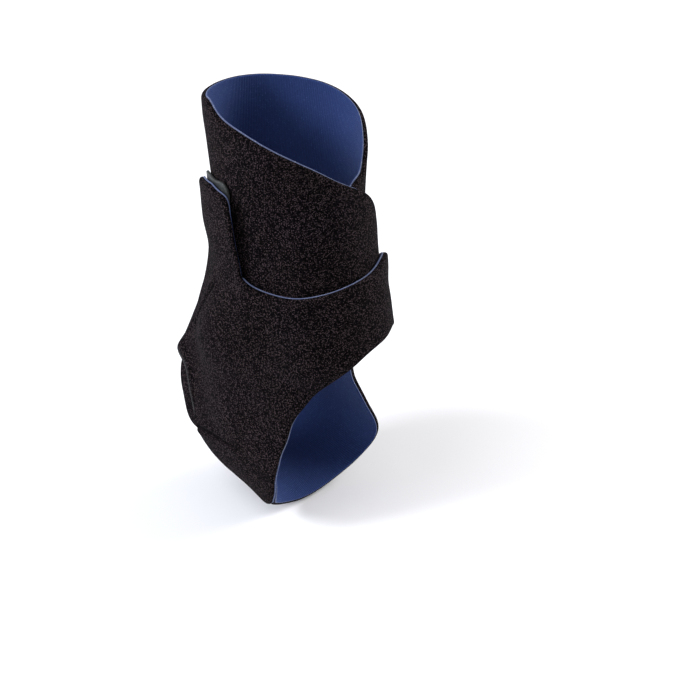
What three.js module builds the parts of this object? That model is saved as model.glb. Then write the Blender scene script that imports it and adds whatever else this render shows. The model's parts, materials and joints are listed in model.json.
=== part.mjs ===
// Wrap-around ankle brace for a right foot, in its worn form.
// Millimetres. The origin is the centre of the ankle joint inside the brace;
// +Z runs up the leg, -Y towards the toes and -X towards the outer side of the foot.
import * as THREE from "three";

// Driving dimensions of the ankle that the brace is shaped on
const ankleWidth = 66; // narrowest bare section above the ankle bones, side to side
const ankleDepth = 73; // the same section, front to back
const legRise = 125; // ankle centre to the highest point of the cuff's rim
const soleDrop = 90; // ankle centre down to the sole, behind the arch
const footReach = 64; // ankle centre forward to the last section of the form
const outerAnkleBone = 5.3; // height of the rounded bone on the outer side
const innerAnkleBone = 3.2; // the same on the inner side
const calfBulge = 1.8; // fullness near the rim, behind the outer side
const heelBulge = 2.6; // fullness beside the heel
const instepHollow = 2.3; // depth of the hollow beside the instep, on the inner side
const soleHollow = 3.3; // how far the form is drawn in below the foot's outer border

// Thicknesses of the laminate and the clearances between its plies and laps
const faceWall = 1.9; // black loop-faced foam
const liningWall = 1.0; // blue lining cloth
const plyGap = 0.3; // lining to foam
const layerGap = 0.9; // one lap to the lap that it lies on
const tabWall = 1.3; // stiff grey hook tab
const patchWall = 1.1; // hook patch hidden between the cuff's laps
const seamGap = 0.9; // cuff's lower edge to the foot wrap's inner end
const skinGap = 0.3; // lining to the ankle's form
const edgeLift = 4; // how far the loosest edge stands off what it lies on

// How an upper lap comes down from the lap below it
const lapMargin = 7; // full height is kept this far past the lower lap's edge
const lapRamp = 24; // length over which it then comes down

// Mesh fineness
const cuffGrid = { around: 44, across: 10 };
const wrapGrid = { around: 70, across: 12 };
const tabGrid = { around: 9, across: 5 };
const patchGrid = { around: 8, across: 6 };
const edgeShare = 0.3; // weight of the longer edge where cuts fan out
const outlineSteps = 4; // points per cut along a panel's outline
const spacingSteps = 8; // points per cut when its length is measured

const turn = 360;
const outlineReach = 60; // degrees of a neighbour's outline that matter at one place
const degrees = Math.PI / 180;
const lapStep = liningWall + plyGap + faceWall + layerGap;
const tabStep = tabWall + layerGap;
const patchStep = patchWall + layerGap;

// Sections of the ankle's form from the leg down to the forefoot.
// rise is a share of legRise, drop of soleDrop, reach of footReach, depth of ankleDepth and
// width of ankleWidth; tilt is in degrees. back and front say how full the corners are,
// where 1 is an ellipse.
const formSections = [
  { rise: 1.21, drop: 0.0, reach: 0.06, tilt: 0, depth: 1.12, width: 1.15, back: 0.97, front: 1.0 },
  { rise: 0.93, drop: 0.0, reach: 0.03, tilt: 0, depth: 1.04, width: 1.06, back: 0.95, front: 1.0 },
  { rise: 0.64, drop: 0.0, reach: 0.01, tilt: 0, depth: 1.0, width: 1.0, back: 0.92, front: 1.0 },
  { rise: 0.38, drop: 0.0, reach: 0.0, tilt: 3, depth: 1.04, width: 0.98, back: 0.89, front: 1.0 },
  { rise: 0.16, drop: 0.0, reach: -0.02, tilt: 8, depth: 1.23, width: 1.03, back: 0.89, front: 1.0 },
  { rise: 0.0, drop: 0.05, reach: -0.07, tilt: 9, depth: 1.48, width: 1.06, back: 0.885, front: 0.98 },
  { rise: 0.0, drop: 0.26, reach: -0.1, tilt: 12, depth: 1.71, width: 1.04, back: 0.92, front: 0.97 },
  { rise: 0.0, drop: 0.46, reach: -0.02, tilt: 17, depth: 1.78, width: 1.04, back: 0.97, front: 0.97 },
  { rise: 0.0, drop: 0.59, reach: 0.2, tilt: 22, depth: 1.63, width: 1.05, back: 1.03, front: 0.98 },
  { rise: 0.0, drop: 0.68, reach: 0.47, tilt: 27, depth: 1.41, width: 1.07, back: 1.06, front: 1.0 },
  { rise: 0.0, drop: 0.76, reach: 0.73, tilt: 31, depth: 1.23, width: 1.11, back: 1.08, front: 1.02 },
  { rise: 0.0, drop: 0.83, reach: 1.0, tilt: 38, depth: 1.1, width: 1.15, back: 1.1, front: 1.04 },
];

// Bulges and hollows of the form: where they lie and how far they spread
const formBulges = [
  { along: 4.6, around: 76, height: outerAnkleBone, spreadAlong: 0.65, spreadAround: 25 },
  { along: 4.0, around: 255, height: innerAnkleBone, spreadAlong: 0.6, spreadAround: 28 },
  { along: 1.0, around: 60, height: calfBulge, spreadAlong: 0.9, spreadAround: 32 },
  { along: 6.2, around: 32, height: heelBulge, spreadAlong: 0.5, spreadAround: 14 },
  { along: 3.95, around: 212, height: -instepHollow, spreadAlong: 0.45, spreadAround: 20 },
  { along: 9.3, around: 50, height: -soleHollow, spreadAlong: 0.8, spreadAround: 35 },
];

// Panels lie on the form. along counts the sections above; around is in degrees from the
// back over the outer side (90), the front (180) and the inner side (270). Each row is one
// cut across the panel, from its upper or rear edge to its lower or front edge. lowLoose is
// the share of edgeLift by which that lower edge stands off.

// Straight seam below the outer ankle bone, where the cuff's lower edge meets the foot wrap
const seam = { rearAround: 40, rearAlong: 5.76, frontAround: 140, frontAlong: 5.0 };


function seamAlong(around) {
  const share = (around - seam.rearAround) / (seam.frontAround - seam.rearAround);
  return THREE.MathUtils.lerp(seam.rearAlong, seam.frontAlong, share);
}

function belowSeam(around) {
  const along = seamAlong(around);
  return along + seamGap / formPoint(around, along).distanceTo(formPoint(around, along + 1));
}

// The cuff starts under its own lap at the front, passes the inner side, the heel cord and
// the outer side, and ends on top of its start.
const cuffCuts = [
  { topAround: 160, topAlong: 2.9, lowAround: 160, lowAlong: 4.7 },
  { topAround: 172, topAlong: 2.3, lowAround: 174, lowAlong: 4.7 },
  { topAround: 190, topAlong: 1.86, lowAround: 192, lowAlong: 4.65 },
  { topAround: 208, topAlong: 1.76, lowAround: 212, lowAlong: 4.7 },
  { topAround: 224, topAlong: 1.5, lowAround: 234, lowAlong: 4.85 },
  { topAround: 246, topAlong: 1.22, lowAround: 262, lowAlong: 5.15 },
  { topAround: 285, topAlong: 1.02, lowAround: 300, lowAlong: 5.5 },
  { topAround: 325, topAlong: 0.95, lowAround: 334, lowAlong: 5.6 },
  { topAround: 362, topAlong: 0.91, lowAround: 362, lowAlong: 5.55 },
  { topAround: 394, topAlong: 0.85, lowAround: 388, lowAlong: 5.6 },
  { topAround: 414, topAlong: 0.78, lowAround: 411, lowAlong: seamAlong(51) },
  { topAround: 428, topAlong: 0.75, lowAround: 428, lowAlong: seamAlong(68) },
  { topAround: 444, topAlong: 0.89, lowAround: 446, lowAlong: seamAlong(86) },
  { topAround: 464, topAlong: 1.01, lowAround: 466, lowAlong: seamAlong(106) },
  { topAround: 486, topAlong: 1.18, lowAround: 487, lowAlong: seamAlong(127) },
  { topAround: 507, topAlong: 1.37, lowAround: 508, lowAlong: seamAlong(148) },
  { topAround: 528, topAlong: 1.6, lowAround: 530, lowAlong: 4.8 },
  { topAround: 552, topAlong: 1.91, lowAround: 552, lowAlong: 4.7 },
  { topAround: 564, topAlong: 2.2, lowAround: 565, lowAlong: 4.6 },
  { topAround: 571, topAlong: 2.56, lowAround: 575, lowAlong: 4.5 },
  { topAround: 576, topAlong: 2.88, lowAround: 581, lowAlong: 4.35 },
  { topAround: 579, topAlong: 3.2, lowAround: 583, lowAlong: 4.2 },
];

// The foot wrap starts on the outer side under its own flap, passes under the arch, up the
// inner side and over the instep, and ends as a flap with an arm up the outer side. Its
// rear edge leaves the heel open.
const wrapCuts = [
  { topAround: 31, topAlong: belowSeam(31), lowAround: 138, lowAlong: belowSeam(138), lowLoose: 0 },
  { topAround: 32.5, topAlong: 6.4, lowAround: 134, lowAlong: 6.5, lowLoose: 0 },
  { topAround: 30, topAlong: 7.2, lowAround: 110, lowAlong: 7.95, lowLoose: 0 },
  { topAround: 20, topAlong: 7.75, lowAround: 65, lowAlong: 9.66, lowLoose: 0 },
  { topAround: 8, topAlong: 8.0, lowAround: 34, lowAlong: 10.12, lowLoose: 0 },
  { topAround: -8, topAlong: 8.05, lowAround: 0, lowAlong: 10.35, lowLoose: 0 },
  { topAround: -24, topAlong: 7.8, lowAround: -38, lowAlong: 10.1, lowLoose: 0 },
  { topAround: -36, topAlong: 7.2, lowAround: -72, lowAlong: 9.4, lowLoose: 0 },
  { topAround: -50, topAlong: 6.4, lowAround: -92, lowAlong: 8.4, lowLoose: 0 },
  { topAround: -70, topAlong: 5.5, lowAround: -112, lowAlong: 7.0, lowLoose: 0 },
  { topAround: -98, topAlong: 4.4, lowAround: -134, lowAlong: 5.8, lowLoose: 0 },
  { topAround: -128, topAlong: 3.55, lowAround: -156, lowAlong: 4.93, lowLoose: 0 },
  { topAround: -154, topAlong: 3.26, lowAround: -172, lowAlong: 4.91, lowLoose: 0 },
  { topAround: -177, topAlong: 3.36, lowAround: -185, lowAlong: 5.09, lowLoose: 0 },
  { topAround: -198, topAlong: 3.48, lowAround: -199, lowAlong: 5.74, lowLoose: 0 },
  { topAround: -216, topAlong: 3.5, lowAround: -211, lowAlong: 6.62, lowLoose: 0 },
  { topAround: -232, topAlong: 3.44, lowAround: -226, lowAlong: 7.63, lowLoose: 0 },
  { topAround: -243, topAlong: 3.35, lowAround: -249, lowAlong: 8.48, lowLoose: 0 },
  { topAround: -249.5, topAlong: 3.26, lowAround: -271, lowAlong: 9.14, lowLoose: 0 },
  { topAround: -253.5, topAlong: 3.16, lowAround: -287, lowAlong: 9.66, lowLoose: 0 },
  { topAround: -254.8, topAlong: 3.03, lowAround: -301, lowAlong: 9.86, lowLoose: 0 },
  { topAround: -255.5, topAlong: 2.88, lowAround: -318, lowAlong: 9.15, lowLoose: 0 },
  { topAround: -256.1, topAlong: 2.73, lowAround: -329, lowAlong: 8.2, lowLoose: 0 },
  { topAround: -256.9, topAlong: 2.58, lowAround: -322, lowAlong: 7.4, lowLoose: 0.1 },
  { topAround: -257.6, topAlong: 2.44, lowAround: -315.3, lowAlong: 6.65, lowLoose: 0.3 },
  { topAround: -258.4, topAlong: 2.31, lowAround: -317.5, lowAlong: 5.98, lowLoose: 0.3 },
  { topAround: -259.3, topAlong: 2.19, lowAround: -330, lowAlong: 5.56, lowLoose: 0.5 },
  { topAround: -260.2, topAlong: 2.08, lowAround: -324, lowAlong: 4.7, lowLoose: 0.2 },
  { topAround: -261, topAlong: 1.98, lowAround: -316, lowAlong: 3.6, lowLoose: 0 },
  { topAround: -263.5, topAlong: 1.9, lowAround: -312, lowAlong: 2.8, lowLoose: 0 },
  { topAround: -268, topAlong: 1.865, lowAround: -319, lowAlong: 2.25, lowLoose: 0 },
  { topAround: -275, topAlong: 1.84, lowAround: -314, lowAlong: 2.02, lowLoose: 0 },
  { topAround: -282, topAlong: 1.81, lowAround: -304, lowAlong: 1.88, lowLoose: 0 },
];

// The hook tab lies on the cuff; the top of the flap's arm covers its lower part
const tabCuts = [
  { topAround: 50, topAlong: 1.93, lowAround: 50, lowAlong: 2.3 },
  { topAround: 52, topAlong: 1.84, lowAround: 53, lowAlong: 2.36 },
  { topAround: 62, topAlong: 1.79, lowAround: 62, lowAlong: 2.38 },
  { topAround: 77, topAlong: 1.78, lowAround: 77, lowAlong: 2.38 },
  { topAround: 87, topAlong: 1.75, lowAround: 87, lowAlong: 2.36 },
  { topAround: 92, topAlong: 1.8, lowAround: 91, lowAlong: 2.32 },
  { topAround: 94, topAlong: 1.9, lowAround: 92.5, lowAlong: 2.26 },
];

// The hook patch holds the cuff's two laps together
const patchCuts = [
  { topAround: 190, topAlong: 2.5, lowAround: 190, lowAlong: 3.6 },
  { topAround: 196, topAlong: 2.35, lowAround: 196, lowAlong: 3.75 },
  { topAround: 208, topAlong: 2.4, lowAround: 208, lowAlong: 3.75 },
  { topAround: 214, topAlong: 2.6, lowAround: 214, lowAlong: 3.6 },
];

function smoothStep(share) {
  const x = THREE.MathUtils.clamp(share, 0, 1);
  return x * x * (3 - 2 * x);
}

// Catmull-Rom value of one column of a table, with the ends carried on straight
function columnAt(table, column, place) {
  const last = table.length - 1;
  const start = THREE.MathUtils.clamp(Math.floor(place), 0, last - 1);
  const t = place - start;
  const value = (row) => table[row][column];
  const now = value(start);
  const next = value(start + 1);
  const before = start > 0 ? value(start - 1) : 2 * now - next;
  const after = start + 2 <= last ? value(start + 2) : 2 * next - now;
  const slope = next - before;
  const bend = 2 * before - 5 * now + 4 * next - after;
  const twist = 3 * now - before - 3 * next + after;
  return now + 0.5 * t * (slope + t * (bend + t * twist));
}

// Radius of a section by a short cosine series through its back, corners, side and front
function sectionRadius(section, around) {
  const halfDepth = (section.depth * ankleDepth) / 2;
  const halfWidth = (section.width * ankleWidth) / 2;
  const corner = (Math.SQRT2 * halfDepth * halfWidth) / Math.hypot(halfDepth, halfWidth);
  const spokes = [halfDepth, corner * section.back, halfWidth, corner * section.front, halfDepth];
  const waves = spokes.length - 1;
  let radius = 0;
  for (let wave = 0; wave <= waves; wave += 1) {
    let weight = 0;
    spokes.forEach((spoke, i) => {
      const half = i === 0 || i === waves ? 0.5 : 1;
      weight += half * spoke * Math.cos((Math.PI * wave * i) / waves);
    });
    const ends = wave === 0 || wave === waves ? 0.5 : 1;
    radius += ((2 * weight) / waves) * ends * Math.cos(wave * around * degrees);
  }
  return radius;
}

function formPoint(around, along) {
  const section = {};
  for (const column of Object.keys(formSections[0])) {
    section[column] = columnAt(formSections, column, along);
  }
  let radius = sectionRadius(section, around);
  for (const bulge of formBulges) {
    const off = THREE.MathUtils.euclideanModulo(around - bulge.around + turn / 2, turn) - turn / 2;
    const farAlong = ((along - bulge.along) / bulge.spreadAlong) ** 2;
    const farAround = (off / bulge.spreadAround) ** 2;
    radius += bulge.height * Math.exp(-farAlong - farAround);
  }
  const back = radius * Math.cos(around * degrees);
  const outer = radius * Math.sin(around * degrees);
  const tilt = section.tilt * degrees;
  const forward = section.reach * footReach - back * Math.cos(tilt);
  const height = section.rise * legRise - section.drop * soleDrop - back * Math.sin(tilt);
  return new THREE.Vector3(-outer, -forward, height);
}

function formNormal(around, along) {
  const stepAround = 1;
  const stepAlong = 0.04;
  const ahead = formPoint(around + stepAround, along);
  const behind = formPoint(around - stepAround, along);
  const lower = formPoint(around, along + stepAlong);
  const upper = formPoint(around, along - stepAlong);
  return lower.sub(upper).cross(ahead.sub(behind)).normalize();
}

// Place on a panel: run goes from its first cut to its last, cross from top edge to low edge
function panelPlace(cuts, run, cross) {
  const at = (column) => columnAt(cuts, column, run);
  const mix = (top, low) => THREE.MathUtils.lerp(at(top), at(low), cross);
  const loose = "lowLoose" in cuts[0] ? at("lowLoose") : 0;
  return {
    around: mix("topAround", "lowAround"),
    along: mix("topAlong", "lowAlong"),
    lift: edgeLift * loose * cross ** 2,
  };
}

// Closed outline of a panel on the form, for telling what lies under another panel
function panelOutline(cuts) {
  const last = cuts.length - 1;
  const acrossSteps = 2 * outlineSteps;
  const places = [];
  for (let i = 0; i <= last * outlineSteps; i += 1) {
    places.push(panelPlace(cuts, i / outlineSteps, 0));
  }
  for (let i = 1; i < acrossSteps; i += 1) {
    places.push(panelPlace(cuts, last, i / acrossSteps));
  }
  for (let i = last * outlineSteps; i >= 0; i -= 1) {
    places.push(panelPlace(cuts, i / outlineSteps, 1));
  }
  for (let i = acrossSteps - 1; i > 0; i -= 1) {
    places.push(panelPlace(cuts, 0, i / acrossSteps));
  }
  return places.map((place) => ({ ...place, point: formPoint(place.around, place.along) }));
}

function isInside(outline, around, along) {
  let inside = false;
  outline.forEach((corner, i) => {
    const other = outline[(i + 1) % outline.length];
    if (corner.along > along === other.along > along) return;
    const share = (along - corner.along) / (other.along - corner.along);
    if (around < corner.around + share * (other.around - corner.around)) inside = !inside;
  });
  return inside;
}

// How much of its full height a panel gives to what lies on it, from 1 over the panel and
// its margin down to 0 where the ramp ends
function cover(outline, around, along) {
  if (isInside(outline, around, along)) return 1;
  const point = formPoint(around, along);
  const segment = new THREE.Line3();
  const closest = new THREE.Vector3();
  let distance = Infinity;
  outline.forEach((corner, i) => {
    if (Math.abs(corner.around - around) > outlineReach) return;
    segment.set(corner.point, outline[(i + 1) % outline.length].point);
    segment.closestPointToPoint(point, true, closest);
    distance = Math.min(distance, closest.distanceTo(point));
  });
  return 1 - smoothStep((distance - lapMargin) / lapRamp);
}

const cuffOutline = panelOutline(cuffCuts);
const wrapOutline = panelOutline(wrapCuts);
const tabOutline = panelOutline(tabCuts);
const patchOutline = panelOutline(patchCuts);

// Height over the form of what lies under each panel
function underPatch(place) {
  return lapStep * cover(cuffOutline, place.around, place.along);
}

function underCuff(place) {
  const firstTurn = cover(cuffOutline, place.around - turn, place.along);
  const patch = cover(patchOutline, place.around - turn, place.along);
  return lapStep * firstTurn + patchStep * patch;
}

function cuffStack(around, along) {
  const seen = THREE.MathUtils.euclideanModulo(around, turn);
  let height = 0;
  for (const laps of [0, 1]) {
    height += lapStep * cover(cuffOutline, seen + laps * turn, along);
  }
  return height + patchStep * cover(patchOutline, seen, along);
}

function underTab(place) {
  return cuffStack(place.around, place.along);
}

function underWrap(place) {
  const leavesSole = -20;
  const fullyOnCuff = -50;
  const ontoCuff = smoothStep((leavesSole - place.around) / (leavesSole - fullyOnCuff));
  const onCuff = ontoCuff * cuffStack(place.around, place.along);
  const ownTurn = lapStep * cover(wrapOutline, place.around + turn, place.along);
  const tab = tabStep * cover(tabOutline, place.around + turn, place.along);
  return Math.max(onCuff, ownTurn) + tab;
}

// Places along a panel where its cuts are evenly spaced over the form, by a mean of the
// middle path and the longest one
function evenRuns(cuts, count) {
  const steps = (cuts.length - 1) * spacingSteps;
  const pointAt = (run, cross) => {
    const place = panelPlace(cuts, run, cross);
    return formPoint(place.around, place.along);
  };
  const lengths = [0];
  for (let i = 1; i <= steps; i += 1) {
    const paths = [0, 0.5, 1].map((cross) => {
      return pointAt(i / spacingSteps, cross).distanceTo(pointAt((i - 1) / spacingSteps, cross));
    });
    const middle = (paths[0] + paths[1] + paths[2]) / 3;
    lengths.push(lengths[i - 1] + THREE.MathUtils.lerp(middle, Math.max(...paths), edgeShare));
  }
  const runs = [];
  let step = 0;
  for (let i = 0; i <= count; i += 1) {
    const wanted = (lengths[steps] * i) / count;
    while (step < steps - 1 && lengths[step + 1] < wanted) step += 1;
    const share = (wanted - lengths[step]) / (lengths[step + 1] - lengths[step]);
    runs.push((step + THREE.MathUtils.clamp(share, 0, 1)) / spacingSteps);
  }
  return runs;
}

// The inner face of a panel as a grid of points with its normals, lying on what is under it
function innerGrid(cuts, grid, under) {
  const runs = evenRuns(cuts, grid.around);
  const columns = grid.across + 1;
  const positions = [];
  for (const run of runs) {
    for (let i = 0; i < columns; i += 1) {
      const place = panelPlace(cuts, run, i / grid.across);
      const normal = formNormal(place.around, place.along);
      const reach = skinGap + under(place) + place.lift;
      const point = formPoint(place.around, place.along).addScaledVector(normal, reach);
      positions.push(point.x, point.y, point.z);
    }
  }
  const runsForward = cuts[cuts.length - 1].topAround > cuts[0].topAround;
  const index = [];
  const quad = (a, b, c, d) => {
    if (runsForward) index.push(a, c, b, a, d, c);
    else index.push(a, b, c, a, c, d);
  };
  for (let row = 0; row < grid.around; row += 1) {
    for (let i = row * columns; i < row * columns + grid.across; i += 1) {
      quad(i, i + columns, i + columns + 1, i + 1);
    }
  }
  const geometry = new THREE.BufferGeometry();
  geometry.setAttribute("position", new THREE.Float32BufferAttribute(positions, 3));
  geometry.setIndex(index);
  geometry.computeVertexNormals();
  return { geometry, grid, quad };
}

// A closed sheet between two heights over the inner face of a panel
function sheetGeometry(inner, height, wall) {
  const { position, normal } = inner.geometry.attributes;
  const columns = inner.grid.across + 1;
  const positions = [];
  for (const reach of [height, height + wall]) {
    for (let i = 0; i < position.count; i += 1) {
      const out = new THREE.Vector3().fromBufferAttribute(normal, i);
      const point = new THREE.Vector3().fromBufferAttribute(position, i).addScaledVector(out, reach);
      positions.push(point.x, point.y, point.z);
    }
  }
  const faces = Array.from(inner.geometry.index.array);
  const index = [];
  for (let i = 0; i < faces.length; i += 3) {
    const [a, b, c] = faces.slice(i, i + 3);
    index.push(a, c, b, a + position.count, b + position.count, c + position.count);
  }
  const outline = [];
  for (let row = 0; row < inner.grid.around; row += 1) outline.push(row * columns);
  for (let i = 0; i < inner.grid.across; i += 1) outline.push(inner.grid.around * columns + i);
  for (let row = inner.grid.around; row > 0; row -= 1) outline.push((row + 1) * columns - 1);
  for (let i = inner.grid.across; i > 0; i -= 1) outline.push(i);
  const forward = faces[1] > faces[2];
  outline.forEach((corner, i) => {
    const other = outline[(i + 1) % outline.length];
    const [from, to] = forward ? [other, corner] : [corner, other];
    index.push(from, to, to + position.count, from, to + position.count, from + position.count);
  });
  const geometry = new THREE.BufferGeometry();
  geometry.setAttribute("position", new THREE.Float32BufferAttribute(positions, 3));
  geometry.setIndex(index);
  geometry.computeVertexNormals();
  return geometry;
}

const loopFabric = { color: 0x1f1b1e, roughness: 0.95, metalness: 0 };
const liningCloth = { color: 0x3a4d86, roughness: 0.85, metalness: 0 };
const hookPlastic = { color: 0x555855, roughness: 0.6, metalness: 0 };

function piece(name, geometry, finish) {
  const mesh = new THREE.Mesh(geometry, new THREE.MeshStandardMaterial(finish));
  mesh.name = name;
  return mesh;
}

const cuffInner = innerGrid(cuffCuts, cuffGrid, underCuff);
const wrapInner = innerGrid(wrapCuts, wrapGrid, underWrap);
const tabInner = innerGrid(tabCuts, tabGrid, underTab);
const patchInner = innerGrid(patchCuts, patchGrid, underPatch);
const faceHeight = liningWall + plyGap;

const brace = new THREE.Group();
brace.add(
  piece("cuff", sheetGeometry(cuffInner, faceHeight, faceWall), loopFabric),
  piece("cuff_lining", sheetGeometry(cuffInner, 0, liningWall), liningCloth),
  piece("foot_wrap", sheetGeometry(wrapInner, faceHeight, faceWall), loopFabric),
  piece("foot_wrap_lining", sheetGeometry(wrapInner, 0, liningWall), liningCloth),
  piece("hook_tab", sheetGeometry(tabInner, 0, tabWall), hookPlastic),
  piece("cuff_hook_patch", sheetGeometry(patchInner, 0, patchWall), hookPlastic),
);

export default brace;
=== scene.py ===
# Wrap-around ankle brace in its worn form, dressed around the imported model
import json
import math
import bpy
import numpy as np
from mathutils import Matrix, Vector, noise

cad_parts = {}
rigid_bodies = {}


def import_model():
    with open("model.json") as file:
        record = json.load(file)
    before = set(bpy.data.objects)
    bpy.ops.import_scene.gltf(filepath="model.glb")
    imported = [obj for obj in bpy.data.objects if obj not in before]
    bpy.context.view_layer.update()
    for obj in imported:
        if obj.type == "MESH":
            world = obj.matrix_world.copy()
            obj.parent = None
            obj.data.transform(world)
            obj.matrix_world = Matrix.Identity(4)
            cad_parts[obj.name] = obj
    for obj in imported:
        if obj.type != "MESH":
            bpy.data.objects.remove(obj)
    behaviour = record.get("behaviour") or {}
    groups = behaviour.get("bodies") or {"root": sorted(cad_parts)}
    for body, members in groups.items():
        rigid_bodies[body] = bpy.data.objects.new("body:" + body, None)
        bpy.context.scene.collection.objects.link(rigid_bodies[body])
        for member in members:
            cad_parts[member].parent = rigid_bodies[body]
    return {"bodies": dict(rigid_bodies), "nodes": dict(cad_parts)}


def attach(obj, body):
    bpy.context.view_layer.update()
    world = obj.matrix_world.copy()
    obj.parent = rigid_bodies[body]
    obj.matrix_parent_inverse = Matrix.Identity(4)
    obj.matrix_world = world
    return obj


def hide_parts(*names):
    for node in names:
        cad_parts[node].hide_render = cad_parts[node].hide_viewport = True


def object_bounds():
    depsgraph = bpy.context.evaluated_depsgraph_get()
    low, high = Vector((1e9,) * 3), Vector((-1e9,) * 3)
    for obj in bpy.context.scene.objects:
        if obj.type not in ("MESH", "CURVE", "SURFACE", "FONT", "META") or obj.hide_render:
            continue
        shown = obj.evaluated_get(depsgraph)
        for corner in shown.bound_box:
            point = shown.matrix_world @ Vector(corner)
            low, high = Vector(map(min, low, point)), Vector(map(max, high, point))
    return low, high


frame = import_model()
cadLow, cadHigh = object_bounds()
body = next(iter(frame["bodies"]))
mm = 0.001

# The ankle's form that the panels lie on, in millimetres. Sections run from the leg down to
# the forefoot; rise, drop, reach, depth and width are shares of the sizes above them.
ankle = {
    "rise": 125, "drop": 90, "reach": 64, "depth": 73, "width": 66,
    "columns": ("rise", "drop", "reach", "tilt", "depth", "width", "back", "front"),
    "sections": (
        (1.21, 0.00, 0.06, 0, 1.12, 1.15, 0.97, 1.00),
        (0.93, 0.00, 0.03, 0, 1.04, 1.06, 0.95, 1.00),
        (0.64, 0.00, 0.01, 0, 1.00, 1.00, 0.92, 1.00),
        (0.38, 0.00, 0.00, 3, 1.04, 0.98, 0.89, 1.00),
        (0.16, 0.00, -0.02, 8, 1.23, 1.03, 0.89, 1.00),
        (0.00, 0.05, -0.07, 9, 1.48, 1.06, 0.885, 0.98),
        (0.00, 0.26, -0.10, 12, 1.71, 1.04, 0.92, 0.97),
        (0.00, 0.46, -0.02, 17, 1.78, 1.04, 0.97, 0.97),
        (0.00, 0.59, 0.20, 22, 1.63, 1.05, 1.03, 0.98),
        (0.00, 0.68, 0.47, 27, 1.41, 1.07, 1.06, 1.00),
        (0.00, 0.76, 0.73, 31, 1.23, 1.11, 1.08, 1.02),
        (0.00, 0.83, 1.00, 38, 1.10, 1.15, 1.10, 1.04),
    ),
    "bulges": (  # around, along, height, spread around, spread along
        (76, 4.6, 5.3, 25, 0.65),
        (255, 4.0, 3.2, 28, 0.6),
        (212, 3.95, -2.3, 20, 0.45),
        (60, 1.0, 1.8, 32, 0.9),
        (32, 6.2, 2.6, 14, 0.5),
        (50, 9.3, -3.3, 35, 0.8),
    ),
}

laminate = {
    "lining": 1.0, "face": 2.1, "between": 0.1,    # walls of the two plies and what is between
    "lapStep": 4.05, "tabStep": 2.15, "patchStep": 1.95,
    # the last value on the next line is how far, in millimetres, the painted highlight along a low edge
    # spreads
    "skin": 0.3, "looseEdge": 4, "looseReach": 9, "paintedHighlightReach": 1.4,
    "margin": 5, "ramp": 20,                       # how an upper lap comes down from a lower one
    "faceRound": 1.6, "liningRound": 0.45, "faceInset": 0.12,
    "rim": (0, 0.12, 0.35, 0.7, 1.15, 1.7, 2.4, 3.2, 4.1, 5.1, 6.2),  # rows by a cut edge
    "rimShare": 0.3,                               # the most of a width that those rows take
    "backRound": 0.2, "unevenSizes": (21, 9.5), "creaseShade": 0.85,
    "creaseLip": (2.2, 1.3),                       # place and width of a lip, in crease widths
}

# How finely outlines, paths and distances are sampled
sampling = {
    "outlineSteps": 4, "endSteps": 9, "pathSteps": 8, "widthSteps": 24, "creaseSteps": 6,
    "probe": (1, 0.04), "longestWeight": 0.3, "chunk": 2000, "reach": 60, "window": 15, "creaseReach": 70,
}

panelColumns = ("topAround", "topAlong", "lowAround", "lowAlong", "topLoose", "lowLoose")
seam = {"rear": (40, 5.76), "front": (140, 5.0), "gap": 0.035}


def seamAlong(around, past=0):
    share = (around - seam["rear"][0]) / (seam["front"][0] - seam["rear"][0])
    return seam["rear"][1] + share * (seam["front"][1] - seam["rear"][1]) + past


# Cuff: starts under its own lap at the front, passes the inner side, the heel cord and the
# outer side, and ends on top of its start
cuff = {
    "cuts": (
        (160, 2.90, 160, 4.70),
        (172, 2.30, 174, 4.70),
        (190, 1.86, 192, 4.65),
        (208, 1.76, 212, 4.70),
        (224, 1.50, 234, 4.85),
        (246, 1.22, 262, 5.15),
        (285, 1.02, 300, 5.50),
        (325, 0.95, 334, 5.60),
        (362, 0.91, 362, 5.55),
        (394, 0.85, 388, 5.60),
        (414, 0.78, 411, seamAlong(51)),
        (428, 0.75, 428, seamAlong(68)),
        (444, 0.89, 446, seamAlong(86)),
        (464, 1.01, 466, seamAlong(106)),
        (486, 1.18, 487, seamAlong(127)),
        (507, 1.37, 508, seamAlong(148)),
        (528, 1.60, 530, 4.80),
        (552, 1.91, 552, 4.70),
        (564, 2.20, 565, 4.60),
        (571, 2.56, 575, 4.50),
        (576, 2.88, 581, 4.35),
        (579, 3.20, 583, 4.20),
    ),
    "swells": (), "creases": (),
    "undulation": 0.35, "paintedHighlightLow": ((0, 0), (21, 0)),
    "tuckTop": ((0, 0), (21, 0)), "tuckLow": ((0, 0), (21, 0)),
    "grid": (270, 74), "liningGrid": (200, 56),
}

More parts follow.
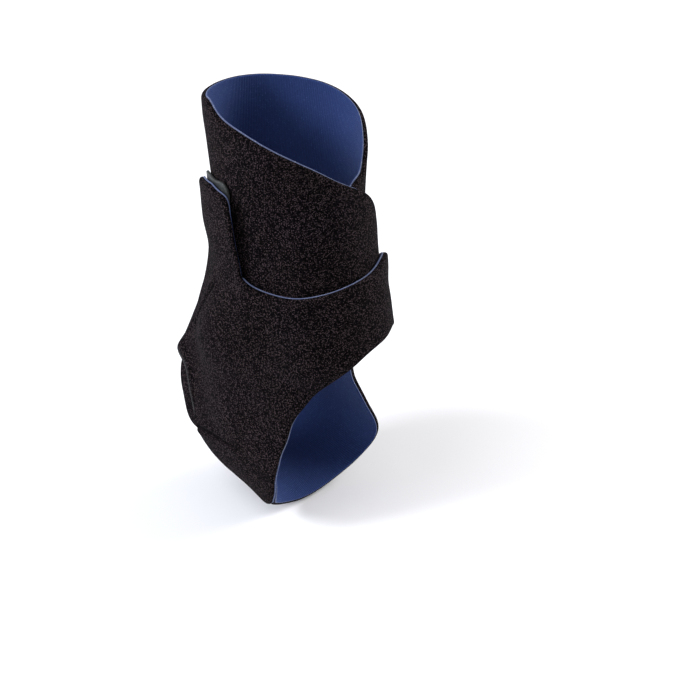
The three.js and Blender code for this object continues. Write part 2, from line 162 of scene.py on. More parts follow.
# Foot wrap: starts on the outer side under its own flap, passes under the arch, up the inner
# side and over the instep, and ends as a flap with an arm up the outer side
footWrap = {
    "cuts": (
        (31, seamAlong(31, seam["gap"]), 138, seamAlong(138, seam["gap"]), 0.3),
        (32.5, 6.40, 134, 6.50, 0.5),
        (30, 7.20, 110, 7.95, 0.9),
        (20, 7.75, 65, 9.66, 0.4),
        (8, 8.00, 34, 10.12),
        (-8, 8.05, 0, 10.35),
        (-24, 7.80, -38, 10.10),
        (-36, 7.20, -72, 9.40),
        (-50, 6.40, -92, 8.40),
        (-70, 5.50, -112, 7.00),
        (-98, 4.40, -134, 5.80),
        (-128, 3.55, -156, 4.93),
        (-154, 3.26, -172, 4.91),
        (-177, 3.36, -185, 5.09),
        (-198, 3.48, -199, 5.74),
        (-216, 3.50, -211, 6.62),
        (-232, 3.44, -226, 7.63),
        (-243, 3.35, -249, 8.48, 0.08),
        (-249.5, 3.26, -271, 9.14, 0.20),
        (-253.5, 3.16, -287, 9.66, 0.25),
        (-254.8, 3.03, -301, 9.86, 0.25),
        (-255.5, 2.88, -318, 9.15, 0.25),
        (-256.1, 2.73, -329, 8.20, 0.25),
        (-256.9, 2.58, -322, 7.40, 0.25, 0.1),
        (-257.6, 2.44, -317, 6.65, 0.25, 0.3),
        (-258.4, 2.31, -319, 5.98, 0.25, 0.3),
        (-259.3, 2.19, -330, 5.56, 0.25, 0.5),
        (-260.2, 2.08, -324, 4.70, 0.25, 0.2),
        (-261, 1.98, -316, 3.60, 0.2),
        (-263.5, 1.90, -312, 2.80, 0.1),
        (-268, 1.865, -319, 2.25),
        (-275, 1.84, -314, 2.02),
        (-282, 1.81, -304, 1.88),
    ),
    "ontoCuff": (-20, 30),  # where it starts to lie on the cuff, and over how many degrees
    "swells": (  # around, along, spread around, spread along, height
        (-303, 7.85, 20, 0.25, -1.0),
        (-278, 7.93, 3, 0.06, -1.2),
    ),
    "creases": (
        {"depth": 1.5, "width": 1.3, "lip": 0.5,
         "path": ((-284, 3.6), (-290, 3.8), (-296, 4.07), (-303, 4.38), (-311, 4.7))},
        {"depth": 1.5, "width": 1.2, "lip": 0.5,
         "path": ((-321, 7.37), (-316, 7.45), (-305, 7.55), (-292, 7.7), (-279, 7.9))},
    ),
    "undulation": 0.35,
    "paintedHighlightLow": ((22.9, 0), (23.3, 1), (25.6, 1), (26.1, 0)),            # painted highlight along the low edge, where its rolled rim catches the light
    # how far the lining is drawn in from the edges, by row of cuts
    "tuckTop": ((18.7, 0), (19.6, 1.8), (25, 1.8), (28, 0.6), (29.5, 0)),
    "tuckLow": ((22.9, 0), (23.2, -1.2), (23.8, -1.2), (24.2, 0)),
    "grid": (380, 90), "liningGrid": (240, 56),
}

hookTab = {
    "cuts": (
        (50, 1.93, 50, 2.30),
        (52, 1.84, 53, 2.36),
        (62, 1.79, 62, 2.38),
        (77, 1.78, 77, 2.38),
        (87, 1.75, 87, 2.36),
        (92, 1.80, 91, 2.32),
        (94, 1.90, 92.5, 2.26),
    ),
    "swells": (), "creases": (),
    "undulation": 0, "paintedHighlightLow": ((0, 0), (6, 0)),
    "wall": 1.3, "round": 0.5,
    "grid": (60, 36),
}

hookPatch = {
    "cuts": (
        (190, 2.50, 190, 3.60),
        (196, 2.35, 196, 3.75),
        (208, 2.40, 208, 3.75),
        (214, 2.60, 214, 3.60),
    ),
}


def smooth(share):
    x = np.clip(share, 0, 1)
    return x * x * (3 - 2 * x)


def through(values, place):  # smooth curve through a column of a table, straight past its ends
    values = np.asarray(values, float)
    ends = 2 * values[[0, -1]] - values[[1, -2]]
    values = np.concatenate([ends[:1], values, ends[1:]])
    start = np.clip(np.floor(place).astype(int), 0, len(values) - 4)
    t = place - start
    before, now, after, later = (values[start + k] for k in range(4))
    slope = after - before
    bend = 2 * before - 5 * now + 4 * after - later
    twist = 3 * now - before - 3 * after + later
    return now + 0.5 * t * (slope + t * (bend + t * twist))


def sectionRadius(section, around):  # cosine series through the back, corners, side and front
    halfDepth = section["depth"] * ankle["depth"] / 2
    halfWidth = section["width"] * ankle["width"] / 2
    corner = math.sqrt(2) * halfDepth * halfWidth / np.hypot(halfDepth, halfWidth)
    spokes = (halfDepth, corner * section["back"], halfWidth, corner * section["front"], halfDepth)
    waves = len(spokes) - 1
    radius = 0
    for wave in range(waves + 1):
        weight = 0
        for i, spoke in enumerate(spokes):
            half = 0.5 if i in (0, waves) else 1
            weight = weight + half * spoke * math.cos(math.pi * wave * i / waves)
        ends = 0.5 if wave in (0, waves) else 1
        radius = radius + 2 / waves * ends * weight * np.cos(np.radians(wave * around))
    return radius


def formPoint(around, along):
    around, along = np.broadcast_arrays(np.asarray(around, float), np.asarray(along, float))
    columns = zip(ankle["columns"], zip(*ankle["sections"]))
    section = {name: through(values, along) for name, values in columns}
    radius = sectionRadius(section, around)
    for atAround, atAlong, height, spreadAround, spreadAlong in ankle["bulges"]:
        off = (around - atAround + 180) % 360 - 180
        far = (off / spreadAround) ** 2 + ((along - atAlong) / spreadAlong) ** 2
        radius = radius + height * np.exp(-far)
    back = radius * np.cos(np.radians(around))
    outer = radius * np.sin(np.radians(around))
    tilt = np.radians(section["tilt"])
    forward = section["reach"] * ankle["reach"] - back * np.cos(tilt)
    height = section["rise"] * ankle["rise"] - section["drop"] * ankle["drop"] - back * np.sin(tilt)
    return np.stack([-outer, -forward, height], axis=-1)


def unit(vectors):
    return vectors / np.linalg.norm(vectors, axis=-1, keepdims=True)


def formNormal(around, along):
    aside, down = sampling["probe"]
    ahead = formPoint(around + aside, along) - formPoint(around - aside, along)
    lower = formPoint(around, along + down) - formPoint(around, along - down)
    return unit(np.cross(lower, ahead))


def cutColumn(panel, name, run):
    i = panelColumns.index(name)
    return through([row[i] if i < len(row) else 0 for row in panel["cuts"]], run)


def panelPlace(panel, run, cross):  # cross goes from the top edge, 0, to the low edge, 1
    run, cross = np.broadcast_arrays(np.asarray(run, float), np.asarray(cross, float))
    column = {name: cutColumn(panel, name, run) for name in panelColumns[:4]}
    around = column["topAround"] + cross * (column["lowAround"] - column["topAround"])
    along = column["topAlong"] + cross * (column["lowAlong"] - column["topAlong"])
    return around, along


def panelOutline(panel):
    last = len(panel["cuts"]) - 1
    runs = np.linspace(0, last, sampling["outlineSteps"] * last + 1)
    ends = np.linspace(0, 1, sampling["endSteps"])[1:-1]
    run = np.concatenate([runs, np.full(len(ends), last), runs[::-1], np.zeros(len(ends))])
    cross = np.concatenate([runs * 0, ends, runs * 0 + 1, ends[::-1]])
    around, along = panelPlace(panel, run, cross)
    return {"around": around, "along": along, "points": formPoint(around, along)}


def distanceTo(points, starts, ends):  # from each point to the nearest of some segments
    found = np.empty(len(points))
    runs = ends - starts
    square = np.maximum((runs ** 2).sum(-1), 1e-9)
    chunk = sampling["chunk"]
    for i in range(0, len(points), chunk):
        off = points[i:i + chunk, None, :] - starts[None]
        share = np.clip((off * runs[None]).sum(-1) / square, 0, 1)
        gap = off - share[..., None] * runs[None]
        found[i:i + chunk] = np.sqrt((gap ** 2).sum(-1).min(1))
    return found


def cover(outline, around, along):  # 1 over a panel and its margin, down to 0 past the ramp
    shape = around.shape
    around, along = around.ravel(), along.ravel()
    reach, window = sampling["reach"], sampling["window"]
    near = (around > outline["around"].min() - reach) & (around < outline["around"].max() + reach)
    full = np.zeros(len(around))
    x, y = around[near], along[near]
    cornerX, cornerY = outline["around"], outline["along"]
    nextX, nextY = np.roll(cornerX, -1), np.roll(cornerY, -1)
    inside = np.zeros(len(x), bool)
    for ax, ay, bx, by in zip(cornerX, cornerY, nextX, nextY):
        if ay == by:
            continue
        spans = (ay > y) != (by > y)
        inside ^= spans & (x < ax + (y - ay) / (by - ay) * (bx - ax))
    value = np.ones(len(x))
    outside = np.flatnonzero(~inside)
    points = formPoint(x[outside], y[outside])
    far = np.full(len(outside), 1e3)
    starts, ends = outline["points"], np.roll(outline["points"], -1, axis=0)
    for low in np.arange(cornerX.min() - reach, cornerX.max() + reach, window):  # close corners only
        pick = (x[outside] >= low) & (x[outside] < low + window)
        close = np.abs(cornerX - low - window / 2) < reach
        if pick.any() and close.any():
            far[pick] = distanceTo(points[pick], starts[close], ends[close])
    value[outside] = 1 - smooth((far - laminate["margin"]) / laminate["ramp"])
    full[near] = value
    return full.reshape(shape)


outlines = {
    "cuff": panelOutline(cuff), "wrap": panelOutline(footWrap),
    "tab": panelOutline(hookTab), "patch": panelOutline(hookPatch),
}


def underCuff(around, along):
    firstLap = cover(outlines["cuff"], around - 360, along)
    patch = cover(outlines["patch"], around - 360, along)
    return laminate["lapStep"] * firstLap + laminate["patchStep"] * patch


def cuffStack(around, along):
    seen = around % 360
    laps = cover(outlines["cuff"], seen, along) + cover(outlines["cuff"], seen + 360, along)
    return laminate["lapStep"] * laps + laminate["patchStep"] * cover(outlines["patch"], seen, along)


def underWrap(around, along):
    ontoCuff = smooth((footWrap["ontoCuff"][0] - around) / footWrap["ontoCuff"][1])
    onCuff = ontoCuff * cuffStack(around, along)
    ownTurn = laminate["lapStep"] * cover(outlines["wrap"], around + 360, along)
    tab = laminate["tabStep"] * cover(outlines["tab"], around + 360, along)
    return np.maximum(onCuff, ownTurn) + tab


def relief(panel, around, along):  # swells and a slight unevenness
    height = np.zeros(around.shape)
    for swellAround, swellAlong, spreadAround, spreadAlong, rise in panel["swells"]:
        far = ((around - swellAround) / spreadAround) ** 2 + ((along - swellAlong) / spreadAlong) ** 2
        height += rise * np.exp(-far)
    if panel["undulation"]:
        spots = formPoint(around, along).reshape(-1, 3)
        wide, fine = laminate["unevenSizes"]
        rough = [noise.noise(Vector(spot) / wide) + 0.5 * noise.noise(Vector(spot) / fine)
                 for spot in spots]
        height += panel["undulation"] * np.array(rough).reshape(around.shape)
    return height


def pressed(panel, around, along):  # how far creases are pressed into the face, less their lips
    depth = np.zeros(around.shape)
    for crease in panel["creases"]:
        bends = np.array(crease["path"], float)
        place = np.linspace(0, len(bends) - 1, sampling["creaseSteps"] * len(bends))
        path = formPoint(through(bends[:, 0], place), through(bends[:, 1], place))
        close = (np.abs(around - bends[:, 0].mean()) < sampling["creaseReach"]).ravel()
        points = formPoint(around, along).reshape(-1, 3)[close]
        far = distanceTo(points, path[:-1], path[1:])
        groove = crease["depth"] * np.exp(-(far / crease["width"]) ** 2)
        lipPlace, lipWidth = (share * crease["width"] for share in laminate["creaseLip"])
        lip = crease["lip"] * np.exp(-((far - lipPlace) / lipWidth) ** 2)
        depth.ravel()[close] += groove - lip
    return depth


def closeAtEnds(count, near, far=None):  # shares of a length: close rows at the ends, even between
    far = near if far is None else far
    middle = np.linspace(near[-1], 1 - far[-1], count)
    return np.concatenate([near[:-1], middle, 1 - far[:-1][::-1]])


def rimShares(rim, width):  # the rows by a cut edge, drawn together where a panel is narrow
    shares = rim / width
    return shares * min(1, laminate["rimShare"] / shares[-1])


def panelGrid(panel, grid, under, inset=0, tucked=False):
    last = len(panel["cuts"]) - 1
    steps = np.linspace(0, last, sampling["pathSteps"] * last + 1)
    paths = [formPoint(*panelPlace(panel, steps, cross)) for cross in (0, 0.5, 1)]
    hops = np.array([np.linalg.norm(np.diff(path, axis=0), axis=1) for path in paths])
    longest = sampling["longestWeight"]
    hop = (1 - longest) * hops.mean(0) + longest * hops.max(0)
    length = np.concatenate([[0], np.cumsum(hop)])
    rim = np.array(laminate["rim"])
    shares = closeAtEnds(grid[0], (rim + inset) / length[-1])
    runs = np.interp(shares * length[-1], length, steps)
    across = formPoint(*panelPlace(panel, runs[:, None], np.linspace(0, 1, sampling["widthSteps"])[None]))
    width = np.linalg.norm(np.diff(across, axis=1), axis=2).sum(1)
    topTuck, lowTuck = (np.interp(runs, *zip(*panel[side])) if tucked else runs * 0
                        for side in ("tuckTop", "tuckLow"))
    crosses = np.array([
        closeAtEnds(grid[1], rimShares(rim + inset + top, w), rimShares(rim + inset + low, w))
        for w, top, low in zip(width, topTuck, lowTuck)])
    around, along = panelPlace(panel, runs[:, None], crosses)
    offTop = smooth(crosses * width[:, None] / laminate["looseReach"])
    offLow = smooth((1 - crosses) * width[:, None] / laminate["looseReach"])
    lift = cutColumn(panel, "topLoose", runs)[:, None] * (1 - offTop)
    lift = lift + cutColumn(panel, "lowLoose", runs)[:, None] * (1 - offLow)
    reach = laminate["skin"] + under(around, along) + laminate["looseEdge"] * lift
    reach = reach + relief(panel, around, along)
    points = formPoint(around, along) + formNormal(around, along) * reach[..., None]
    normals = unit(np.cross(np.gradient(points, axis=1), np.gradient(points, axis=0)))
    if (normals * formNormal(around, along)).sum() < 0:
        normals = -normals
    edge = np.concatenate([points[:, 0], points[-1], points[::-1, -1], points[0, ::-1]])
    edgeDistance = distanceTo(points.reshape(-1, 3), edge[:-1], edge[1:]).reshape(around.shape)
    weave = np.stack([np.broadcast_to((shares * length[-1])[:, None], around.shape),
                      crosses * width[:, None], np.zeros(around.shape)], axis=-1)
    # the crease depth also sets painted shade: creases are darkened in colour as if shade falls into them
    depth = pressed(panel, around, along)
    # a painted highlight along the low edge, where the rolled rim catches the light, kept per point for
    # the shader
    fromLow = (1 - crosses) * width[:, None] / laminate["paintedHighlightReach"]
    paintedEdgeHighlight = np.interp(runs, *zip(*panel["paintedHighlightLow"]))[:, None] * np.exp(-fromLow ** 2)
    return {"points": points, "normals": normals, "edge": edgeDistance, "weave": weave,
            "paintedEdgeHighlight": paintedEdgeHighlight, "pressed": depth, "paintedCreaseShade": laminate["creaseShade"] * np.clip(depth, 0, 1),
            "length": length[-1], "width": width}


def rounded(distance, radius):  # how far a rounded edge lies below the full face
    inside = np.clip(radius - distance, 0, radius)
    return radius - np.sqrt(radius ** 2 - inside ** 2)


def closedSheet(name, grid, low, high, rounds, materials):
    rows, columns = grid["edge"].shape
    lowFace = low + rounded(grid["edge"], rounds[0])
    highFace = high - rounded(grid["edge"], rounds[1])
    if high > laminate["lining"]:  # the lining stays smooth
        highFace = highFace - grid["pressed"]
    layers = [grid["points"] + grid["normals"] * face[..., None] for face in (lowFace, highFace)]
    verts = np.concatenate([layer.reshape(-1, 3) for layer in layers]) * mm
    index = np.arange(rows * columns).reshape(rows, columns)
    corners = (index[:-1, :-1], index[1:, :-1], index[1:, 1:], index[:-1, 1:])
    top = np.stack([c.ravel() for c in corners], axis=1) + rows * columns
    edge = np.concatenate([index[:-1, 0], index[-1, :-1], index[:0:-1, -1], index[0, :0:-1]])
    after = np.roll(edge, -1)
    rim = np.stack([edge, after, after + rows * columns, edge + rows * columns], axis=1)
    bottom = top[:, ::-1] - rows * columns
    faces = np.concatenate([top, bottom, rim])
    a, b, d = (verts[top[0, k]] for k in (0, 1, 3))
    if np.dot(np.cross(b - a, d - a), grid["normals"][0, 0]) < 0:
        faces = faces[:, ::-1]
    mesh = bpy.data.meshes.new(name)
    mesh.from_pydata(verts.tolist(), [], faces.tolist())
    mesh.polygons.foreach_set("use_smooth", np.ones(len(faces), bool))
    slots = np.zeros(len(faces), int)
    if len(materials) > 1:
        slots[-len(rim):] = 1
        nearRim = grid["edge"].ravel()[top[:, 0] - rows * columns] < rounds[1]
        slots[:len(top)][nearRim] = 1
    mesh.polygons.foreach_set("material_index", slots)
    weave = mesh.attributes.new("weave", "FLOAT_VECTOR", "POINT")
    flat = grid["weave"].reshape(-1, 3) * mm
    weave.data.foreach_set("vector", np.concatenate([flat, flat]).astype(np.float32).ravel())
    # the painted edge highlight and the painted crease shade, stored on the points of both faces
    for label in ("paintedEdgeHighlight", "paintedCreaseShade"):
        wear = mesh.attributes.new(label, "FLOAT", "POINT")
        wear.data.foreach_set("value", np.tile(grid[label].ravel(), 2).astype(np.float32))
    mesh.update()
    piece = bpy.data.objects.new(name, mesh)
    bpy.context.scene.collection.objects.link(piece)
    for material in materials:
        mesh.materials.append(material)
    return piece


# Shader nodes
def nodeIn(tree, kind, at, **settings):
    node = tree.nodes.new(kind)
    node.location = at
    for key, value in settings.items():
        setattr(node, key, value)
    return node


def fill(node, **values):
    for key, value in values.items():
        node.inputs[key.replace("_", " ")].default_value = value


def newGroup(name, inputs, outputs):
    tree = bpy.data.node_groups.new(name, "ShaderNodeTree")
    for label, value in inputs.items():
        socket = tree.interface.new_socket(label, in_out="INPUT", socket_type="NodeSocketFloat")
        socket.default_value = value
    for label, kind in outputs.items():
        tree.interface.new_socket(label, in_out="OUTPUT", socket_type=kind)
    start = nodeIn(tree, "NodeGroupInput", (-900, 0))
    end = nodeIn(tree, "NodeGroupOutput", (900, 0))
    return tree, start, end


def fibreGroup():  # short tangled loops: each tuft has its own shade, with pits between them
    tree, start, end = newGroup(
        "fibreSpeckle", {"Scale": 1800, "Contrast": 2.0, "Sparsity": 10},
        {"Speckle": "NodeSocketFloat", "Height": "NodeSocketFloat"})
    place = nodeIn(tree, "ShaderNodeTexCoord", (-1100, 300))
    tufts = nodeIn(tree, "ShaderNodeTexVoronoi", (-700, 300))
    shade = nodeIn(tree, "ShaderNodeSeparateColor", (-500, 400))
    uneven = nodeIn(tree, "ShaderNodeMath", (-300, 400), operation="POWER")
    pit = nodeIn(tree, "ShaderNodeMapRange", (-500, 150))
    fill(pit, From_Min=0.15, From_Max=0.6, To_Min=1.0, To_Max=0.0)
    coarser = nodeIn(tree, "ShaderNodeMath", (-900, -150), operation="MULTIPLY")
    coarser.inputs[1].default_value = 0.9
    clumps = nodeIn(tree, "ShaderNodeTexNoise", (-700, -150))
    fill(clumps, Detail=2.0, Roughness=0.6, Distortion=1.0)
    clump = nodeIn(tree, "ShaderNodeMapRange", (-500, -150))
    fill(clump, From_Min=0.35, From_Max=0.65, To_Min=0.85, To_Max=1.15)
    first = nodeIn(tree, "ShaderNodeMath", (-100, 300), operation="MULTIPLY")
    second = nodeIn(tree, "ShaderNodeMath", (80, 200), operation="MULTIPLY")
    level = nodeIn(tree, "ShaderNodeMath", (260, 200), operation="MULTIPLY", use_clamp=True)
    height = nodeIn(tree, "ShaderNodeMath", (80, -50), operation="MULTIPLY_ADD")
    height.inputs[1].default_value = 0.5
    link = tree.links.new
    for texture in (tufts, clumps):
        link(place.outputs["Object"], texture.inputs["Vector"])
    link(start.outputs["Scale"], tufts.inputs["Scale"])
    link(start.outputs["Scale"], coarser.inputs[0])
    link(coarser.outputs[0], clumps.inputs["Scale"])
    link(tufts.outputs["Color"], shade.inputs[0])
    link(shade.outputs[0], uneven.inputs[0])
    link(start.outputs["Sparsity"], uneven.inputs[1])
    link(tufts.outputs["Distance"], pit.inputs["Value"])
    link(clumps.outputs["Fac"], clump.inputs["Value"])
    link(uneven.outputs[0], first.inputs[0])
    link(pit.outputs[0], first.inputs[1])
    link(first.outputs[0], second.inputs[0])
    link(clump.outputs[0], second.inputs[1])
    link(second.outputs[0], level.inputs[0])
    link(start.outputs["Contrast"], level.inputs[1])
    link(level.outputs[0], end.inputs["Speckle"])
    link(clumps.outputs["Fac"], height.inputs[0])
    link(pit.outputs[0], height.inputs[2])
    link(height.outputs[0], end.inputs["Height"])
    return tree


def driftGroup():  # slow change of tone over the cloth
    tree, start, end = newGroup(
        "slowDrift", {"Scale": 30, "Amount": 0.3}, {"Tone": "NodeSocketFloat"})
    place = nodeIn(tree, "ShaderNodeTexCoord", (-900, 300))
    cloud = nodeIn(tree, "ShaderNodeTexNoise", (-600, 100))
    fill(cloud, Detail=3.0, Roughness=0.55)
    centre = nodeIn(tree, "ShaderNodeMath", (-350, 100), operation="SUBTRACT")
    centre.inputs[1].default_value = 0.5
    amount = nodeIn(tree, "ShaderNodeMath", (-150, 100), operation="MULTIPLY")
    level = nodeIn(tree, "ShaderNodeMath", (50, 100), operation="ADD", use_clamp=True)
    level.inputs[1].default_value = 0.5
    link = tree.links.new
    link(place.outputs["Object"], cloud.inputs["Vector"])
    link(start.outputs["Scale"], cloud.inputs["Scale"])
    link(cloud.outputs["Fac"], centre.inputs[0])
    link(centre.outputs[0], amount.inputs[0])
    link(start.outputs["Amount"], amount.inputs[1])
    link(amount.outputs[0], level.inputs[0])
    link(level.outputs[0], end.inputs["Tone"])
    return tree


def jerseyGroup():  # rows of small knit stitches that follow the cloth
    tree, start, end = newGroup(
        "jerseyKnit", {"Wale": 0.00085, "Course": 0.0006},
        {"Height": "NodeSocketFloat", "Valley": "NodeSocketFloat"})
    weave = nodeIn(tree, "ShaderNodeAttribute", (-900, 300), attribute_name="weave")
    split = nodeIn(tree, "ShaderNodeSeparateXYZ", (-700, 300))
    link = tree.links.new
    link(weave.outputs["Vector"], split.inputs[0])
    waves = []
    for i, (axis, size) in enumerate((("X", "Wale"), ("Y", "Course"))):
        share = nodeIn(tree, "ShaderNodeMath", (-480, 300 - 250 * i), operation="DIVIDE")
        turn = nodeIn(tree, "ShaderNodeMath", (-300, 300 - 250 * i), operation="MULTIPLY")
        turn.inputs[1].default_value = math.pi
        wave = nodeIn(tree, "ShaderNodeMath", (-120, 300 - 250 * i), operation="SINE")
        bump = nodeIn(tree, "ShaderNodeMath", (60, 300 - 250 * i), operation="ABSOLUTE")
        link(split.outputs[axis], share.inputs[0])
        link(start.outputs[size], share.inputs[1])
        link(share.outputs[0], turn.inputs[0])
        link(turn.outputs[0], wave.inputs[0])
        link(wave.outputs[0], bump.inputs[0])
        waves.append(bump)
    both = nodeIn(tree, "ShaderNodeMath", (300, 200), operation="MULTIPLY_ADD")
    both.inputs[1].default_value = 0.45
    valley = nodeIn(tree, "ShaderNodeMath", (500, -50), operation="SUBTRACT", use_clamp=True)
    valley.inputs[0].default_value = 1.0
    link(waves[1].outputs[0], both.inputs[0])
    link(waves[0].outputs[0], both.inputs[2])
    link(both.outputs[0], end.inputs["Height"])
    link(waves[0].outputs[0], valley.inputs[1])
    link(valley.outputs[0], end.inputs["Valley"])
    return tree


def mixColors(tree, at, first, second, share):
    mix = nodeIn(tree, "ShaderNodeMix", at, data_type="RGBA")
    for socket, value in ((mix.inputs[6], first), (mix.inputs[7], second)):
        if isinstance(value, tuple):
            socket.default_value = (*value, 1)
        else:
            tree.links.new(value, socket)
    tree.links.new(share, mix.inputs[0])
    return mix.outputs[2]


def newMaterial(name):
    material = bpy.data.materials.new(name)
    material.use_nodes = True
    return material, material.node_tree, material.node_tree.nodes["Principled BSDF"]


fibreSpeckle = fibreGroup()
slowDrift = driftGroup()
jerseyKnit = jerseyGroup()


def addGroup(tree, group, at, **values):
    node = nodeIn(tree, "ShaderNodeGroup", at, node_tree=group)
    fill(node, **values)
    return node


def clothMaterial(look):  # speckled cloth with slow changes of tone
    material, tree, shader = newMaterial(look["name"])
    link = tree.links.new
    speckle = addGroup(tree, fibreSpeckle, (-900, 200), Scale=look["scale"], Contrast=look["contrast"],
                       Sparsity=look["sparsity"])
    drift = addGroup(tree, slowDrift, (-900, -50), Scale=look["driftScale"], Amount=look["drift"])
    dark = mixColors(tree, (-600, 0), look["deep"], look["deepTwo"], drift.outputs["Tone"])
    light = mixColors(tree, (-600, 250), look["lit"], look["litTwo"], drift.outputs["Tone"])
    color = mixColors(tree, (-350, 200), dark, light, speckle.outputs["Speckle"])
    height = speckle.outputs["Height"]
    # painted highlight: a pale band along the low edge stands in for the rolled rim catching the light
    if look.get("paintedEdgeHighlight"):
        edge = nodeIn(tree, "ShaderNodeAttribute", (-600, 450), attribute_name="paintedEdgeHighlight")
        color = mixColors(tree, (-150, 300), color, look["paintedEdgeHighlight"], edge.outputs["Fac"])
        crease = nodeIn(tree, "ShaderNodeAttribute", (-400, 450), attribute_name="paintedCreaseShade")
        # painted shade in the creases: the colour is drawn toward the deep colour by the crease mask
        color = mixColors(tree, (0, 300), color, look["deep"], crease.outputs["Fac"])
    if look.get("knit"):
        knit = addGroup(tree, jerseyKnit, (-900, -300), Wale=look["knit"][0], Course=look["knit"][1])
        color = mixColors(tree, (-200, 50), color, look["valley"], knit.outputs["Valley"])
        stack = nodeIn(tree, "ShaderNodeMath", (-500, -250), operation="MULTIPLY_ADD")
        stack.inputs[1].default_value = look["fuzz"]
        link(height, stack.inputs[0])
        link(knit.outputs["Height"], stack.inputs[2])
        height = stack.outputs[0]
    rough = nodeIn(tree, "ShaderNodeMapRange", (-350, -100))
    rough.inputs["To Min"].default_value = look["rough"][0]
    rough.inputs["To Max"].default_value = look["rough"][1]
    bump = nodeIn(tree, "ShaderNodeBump", (-200, -300))
    fill(bump, Strength=look["bump"], Distance=look["bumpDepth"])
    link(speckle.outputs["Speckle"], rough.inputs["Value"])
    link(height, bump.inputs["Height"])
    link(color, shader.inputs["Base Color"])
    link(rough.outputs[0], shader.inputs["Roughness"])
    link(bump.outputs[0], shader.inputs["Normal"])
    fill(shader, Sheen_Weight=look["sheen"], Sheen_Roughness=look["sheenRough"], IOR=look["ior"])
    fill(shader, Specular_IOR_Level=look["gloss"])
    shader.inputs["Sheen Tint"].default_value = (*look["sheenTint"], 1)
    return material


loopFabric = clothMaterial({
    "name": "loopFabric", "scale": 1750, "contrast": 3.6, "sparsity": 3.0, "driftScale": 26, "drift": 1.1,
    "deep": (0.0008, 0.0005, 0.0006), "deepTwo": (0.0009, 0.0007, 0.0010),
    "lit": (0.0530, 0.0366, 0.0366), "litTwo": (0.0548, 0.0388, 0.0460),
    # pale grey of the painted highlight along the rolled low edge
    "paintedEdgeHighlight": (0.085, 0.088, 0.090),
    "rough": (0.95, 0.80), "bump": 0.8, "bumpDepth": 0.0006, "gloss": 0.05,
    "sheen": 0.012, "sheenRough": 0.5, "sheenTint": (0.80, 0.78, 0.90), "ior": 1.3,
})

liningCloth = clothMaterial({
    "name": "liningCloth", "scale": 2200, "contrast": 2.0, "sparsity": 8, "driftScale": 18, "drift": 0.8,
    "deep": (0.020, 0.038, 0.130), "deepTwo": (0.024, 0.048, 0.150),
    "lit": (0.040, 0.075, 0.230), "litTwo": (0.048, 0.090, 0.260),
    "knit": (0.00095, 0.0007), "valley": (0.015, 0.028, 0.105), "fuzz": 0.35,
    "rough": (0.9, 0.75), "bump": 0.5, "bumpDepth": 0.0004, "gloss": 0.25,
    "sheen": 0.15, "sheenRough": 0.4, "sheenTint": (0.55, 0.68, 1.0), "ior": 1.35,
})

cutEdge = clothMaterial({
    "name": "cutEdge", "scale": 1800, "contrast": 2.4, "sparsity": 8, "driftScale": 60, "drift": 1.2,
    "deep": (0.070, 0.090, 0.180), "deepTwo": (0.120, 0.140, 0.220),
    "lit": (0.220, 0.250, 0.360), "litTwo": (0.300, 0.330, 0.420),
    "rough": (0.95, 0.85), "bump": 0.4, "bumpDepth": 0.0004, "gloss": 0.2,
    "sheen": 0.1, "sheenRough": 0.5, "sheenTint": (0.8, 0.88, 1.0), "ior": 1.35,
})

hookTape = clothMaterial({
    "name": "hookTape", "scale": 900, "contrast": 1.6, "sparsity": 8, "driftScale": 40, "drift": 1.0,
    "deep": (0.020, 0.022, 0.021), "deepTwo": (0.025, 0.027, 0.026),
    "lit": (0.036, 0.040, 0.038), "litTwo": (0.044, 0.048, 0.045),
    "rough": (0.6, 0.45), "bump": 0.3, "bumpDepth": 0.0003, "gloss": 0.35,
    "sheen": 0.0, "sheenRough": 0.5, "sheenTint": (1, 1, 1), "ior": 1.45,
})

print("materials made")


def dressPanel(panel, faceName, liningName, under):
    grid = panelGrid(panel, panel["grid"], under, laminate["faceInset"])
    low = laminate["lining"] + laminate["between"]
    face = closedSheet(faceName + "_fabric", grid, low, low + laminate["face"],
                       (laminate["backRound"], laminate["faceRound"]), [loopFabric])
    inner = panelGrid(panel, panel["liningGrid"], under, 0, True)
    lining = closedSheet(liningName + "_cloth", inner, 0, laminate["lining"],
                         (laminate["liningRound"], laminate["liningRound"]), [liningCloth, cutEdge])
    for piece, node, slot in ((face, faceName, "loop_fabric"), (lining, liningName, "lining_cloth")):
        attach(piece, body)
        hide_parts(node)
    print(faceName, "built: length", round(grid["length"]), "widths",
          round(grid["width"].min()), "to", round(grid["width"].max()))


dressPanel(
    cuff, "cuff", "cuff_lining", underCuff)
dressPanel(
    footWrap, "foot_wrap", "foot_wrap_lining", underWrap)

tabGrid = panelGrid(hookTab, hookTab["grid"], cuffStack)
tab = closedSheet("hook_tab_plate", tabGrid, 0, hookTab["wall"],
                  (laminate["backRound"], hookTab["round"]), [hookTape])
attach(tab, body)
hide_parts("hook_tab")

patch = frame["nodes"]["cuff_hook_patch"]
patch.data.materials.clear()
patch.data.materials.append(hookTape)
print("pieces built")


# Camera, floor and light
view = {
    "azimuth": -45, "elevation": 30, "distance": 900,
    "right": 31, "up": -14, "lens": 92.57, "sensor": 36,
}


def aimed(name, data, location, back):
    thing = bpy.data.objects.new(name, data)
    bpy.context.scene.collection.objects.link(thing)
    thing.location = location
    thing.rotation_mode = "QUATERNION"
    thing.rotation_quaternion = (-back).to_track_quat("-Z", "Y")
    return thing


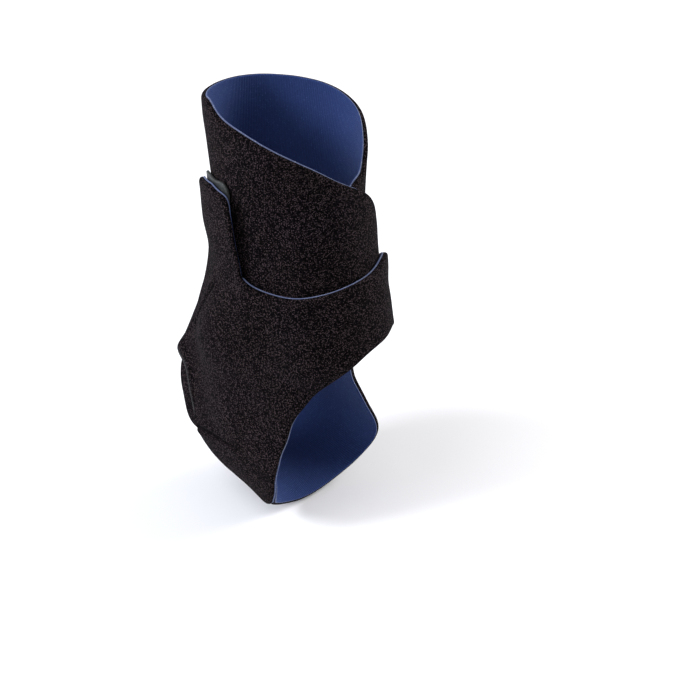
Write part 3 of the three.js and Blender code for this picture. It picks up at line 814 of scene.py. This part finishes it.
turn, lift = math.radians(view["azimuth"]), math.radians(view["elevation"])
back = Vector((math.sin(turn) * math.cos(lift), -math.cos(turn) * math.cos(lift), math.sin(lift)))
right = Vector((math.cos(turn), math.sin(turn), 0))
up = back.cross(right)
cameraData = bpy.data.cameras.new("camera")
cameraData.lens = view["lens"]
cameraData.sensor_width = view["sensor"]
place = (back * view["distance"] + right * view["right"] + up * view["up"]) * mm
bpy.context.scene.camera = aimed("camera", cameraData, place, back)

stage = {
    "floorDrop": 1.5, "floorSize": 6, "floor": (0.86, 0.86, 0.87),
    "sky": (0.94, 0.96, 1.0), "skyStrength": 0.5,
    "lamps": (  # name, place in metres, size in metres, watts, color
        ("leftSoftbox", (-1.4, 0.75, 1.0), 0.7, 35, (0.91, 0.93, 1.0)),
        ("upperLeftSoftbox", (-0.9, 0.1, 1.5), 0.9, 9, (0.95, 0.96, 1.0)),
        ("rightSoftbox", (1.3, -0.7, 0.8), 1.1, 30, (1.0, 0.98, 0.97)),
        ("lowRearSoftbox", (-0.55, 1.5, -0.02), 0.6, 9, (0.93, 0.95, 1.0)),
    ),
}

half = stage["floorSize"] / 2
level = cadLow.z - stage["floorDrop"] * mm
corners = [(-half, -half, level), (half, -half, level), (half, half, level), (-half, half, level)]
floorMesh = bpy.data.meshes.new("floor")
floorMesh.from_pydata(corners, [], [(0, 1, 2, 3)])
floor = bpy.data.objects.new("floor", floorMesh)
bpy.context.scene.collection.objects.link(floor)
floorMaterial, _, floorShader = newMaterial("paleFloor")
floorShader.inputs["Base Color"].default_value = (*stage["floor"], 1)
fill(floorShader, Roughness=0.9)
floorMesh.materials.append(floorMaterial)

world = bpy.data.worlds.new("studio")
world.use_nodes = True
sky = world.node_tree.nodes["Background"]
sky.inputs["Color"].default_value = (*stage["sky"], 1)
sky.inputs["Strength"].default_value = stage["skyStrength"]
bpy.context.scene.world = world
bpy.context.scene.view_settings.view_transform = "Standard"

for name, spot, size, watts, color in stage["lamps"]:
    lamp = bpy.data.lights.new(name, "AREA")
    lamp.shape = "DISK"
    lamp.size = size
    lamp.energy = watts
    lamp.color = color
    aimed(name, lamp, Vector(spot), Vector(spot).normalized())

print("scene ready")
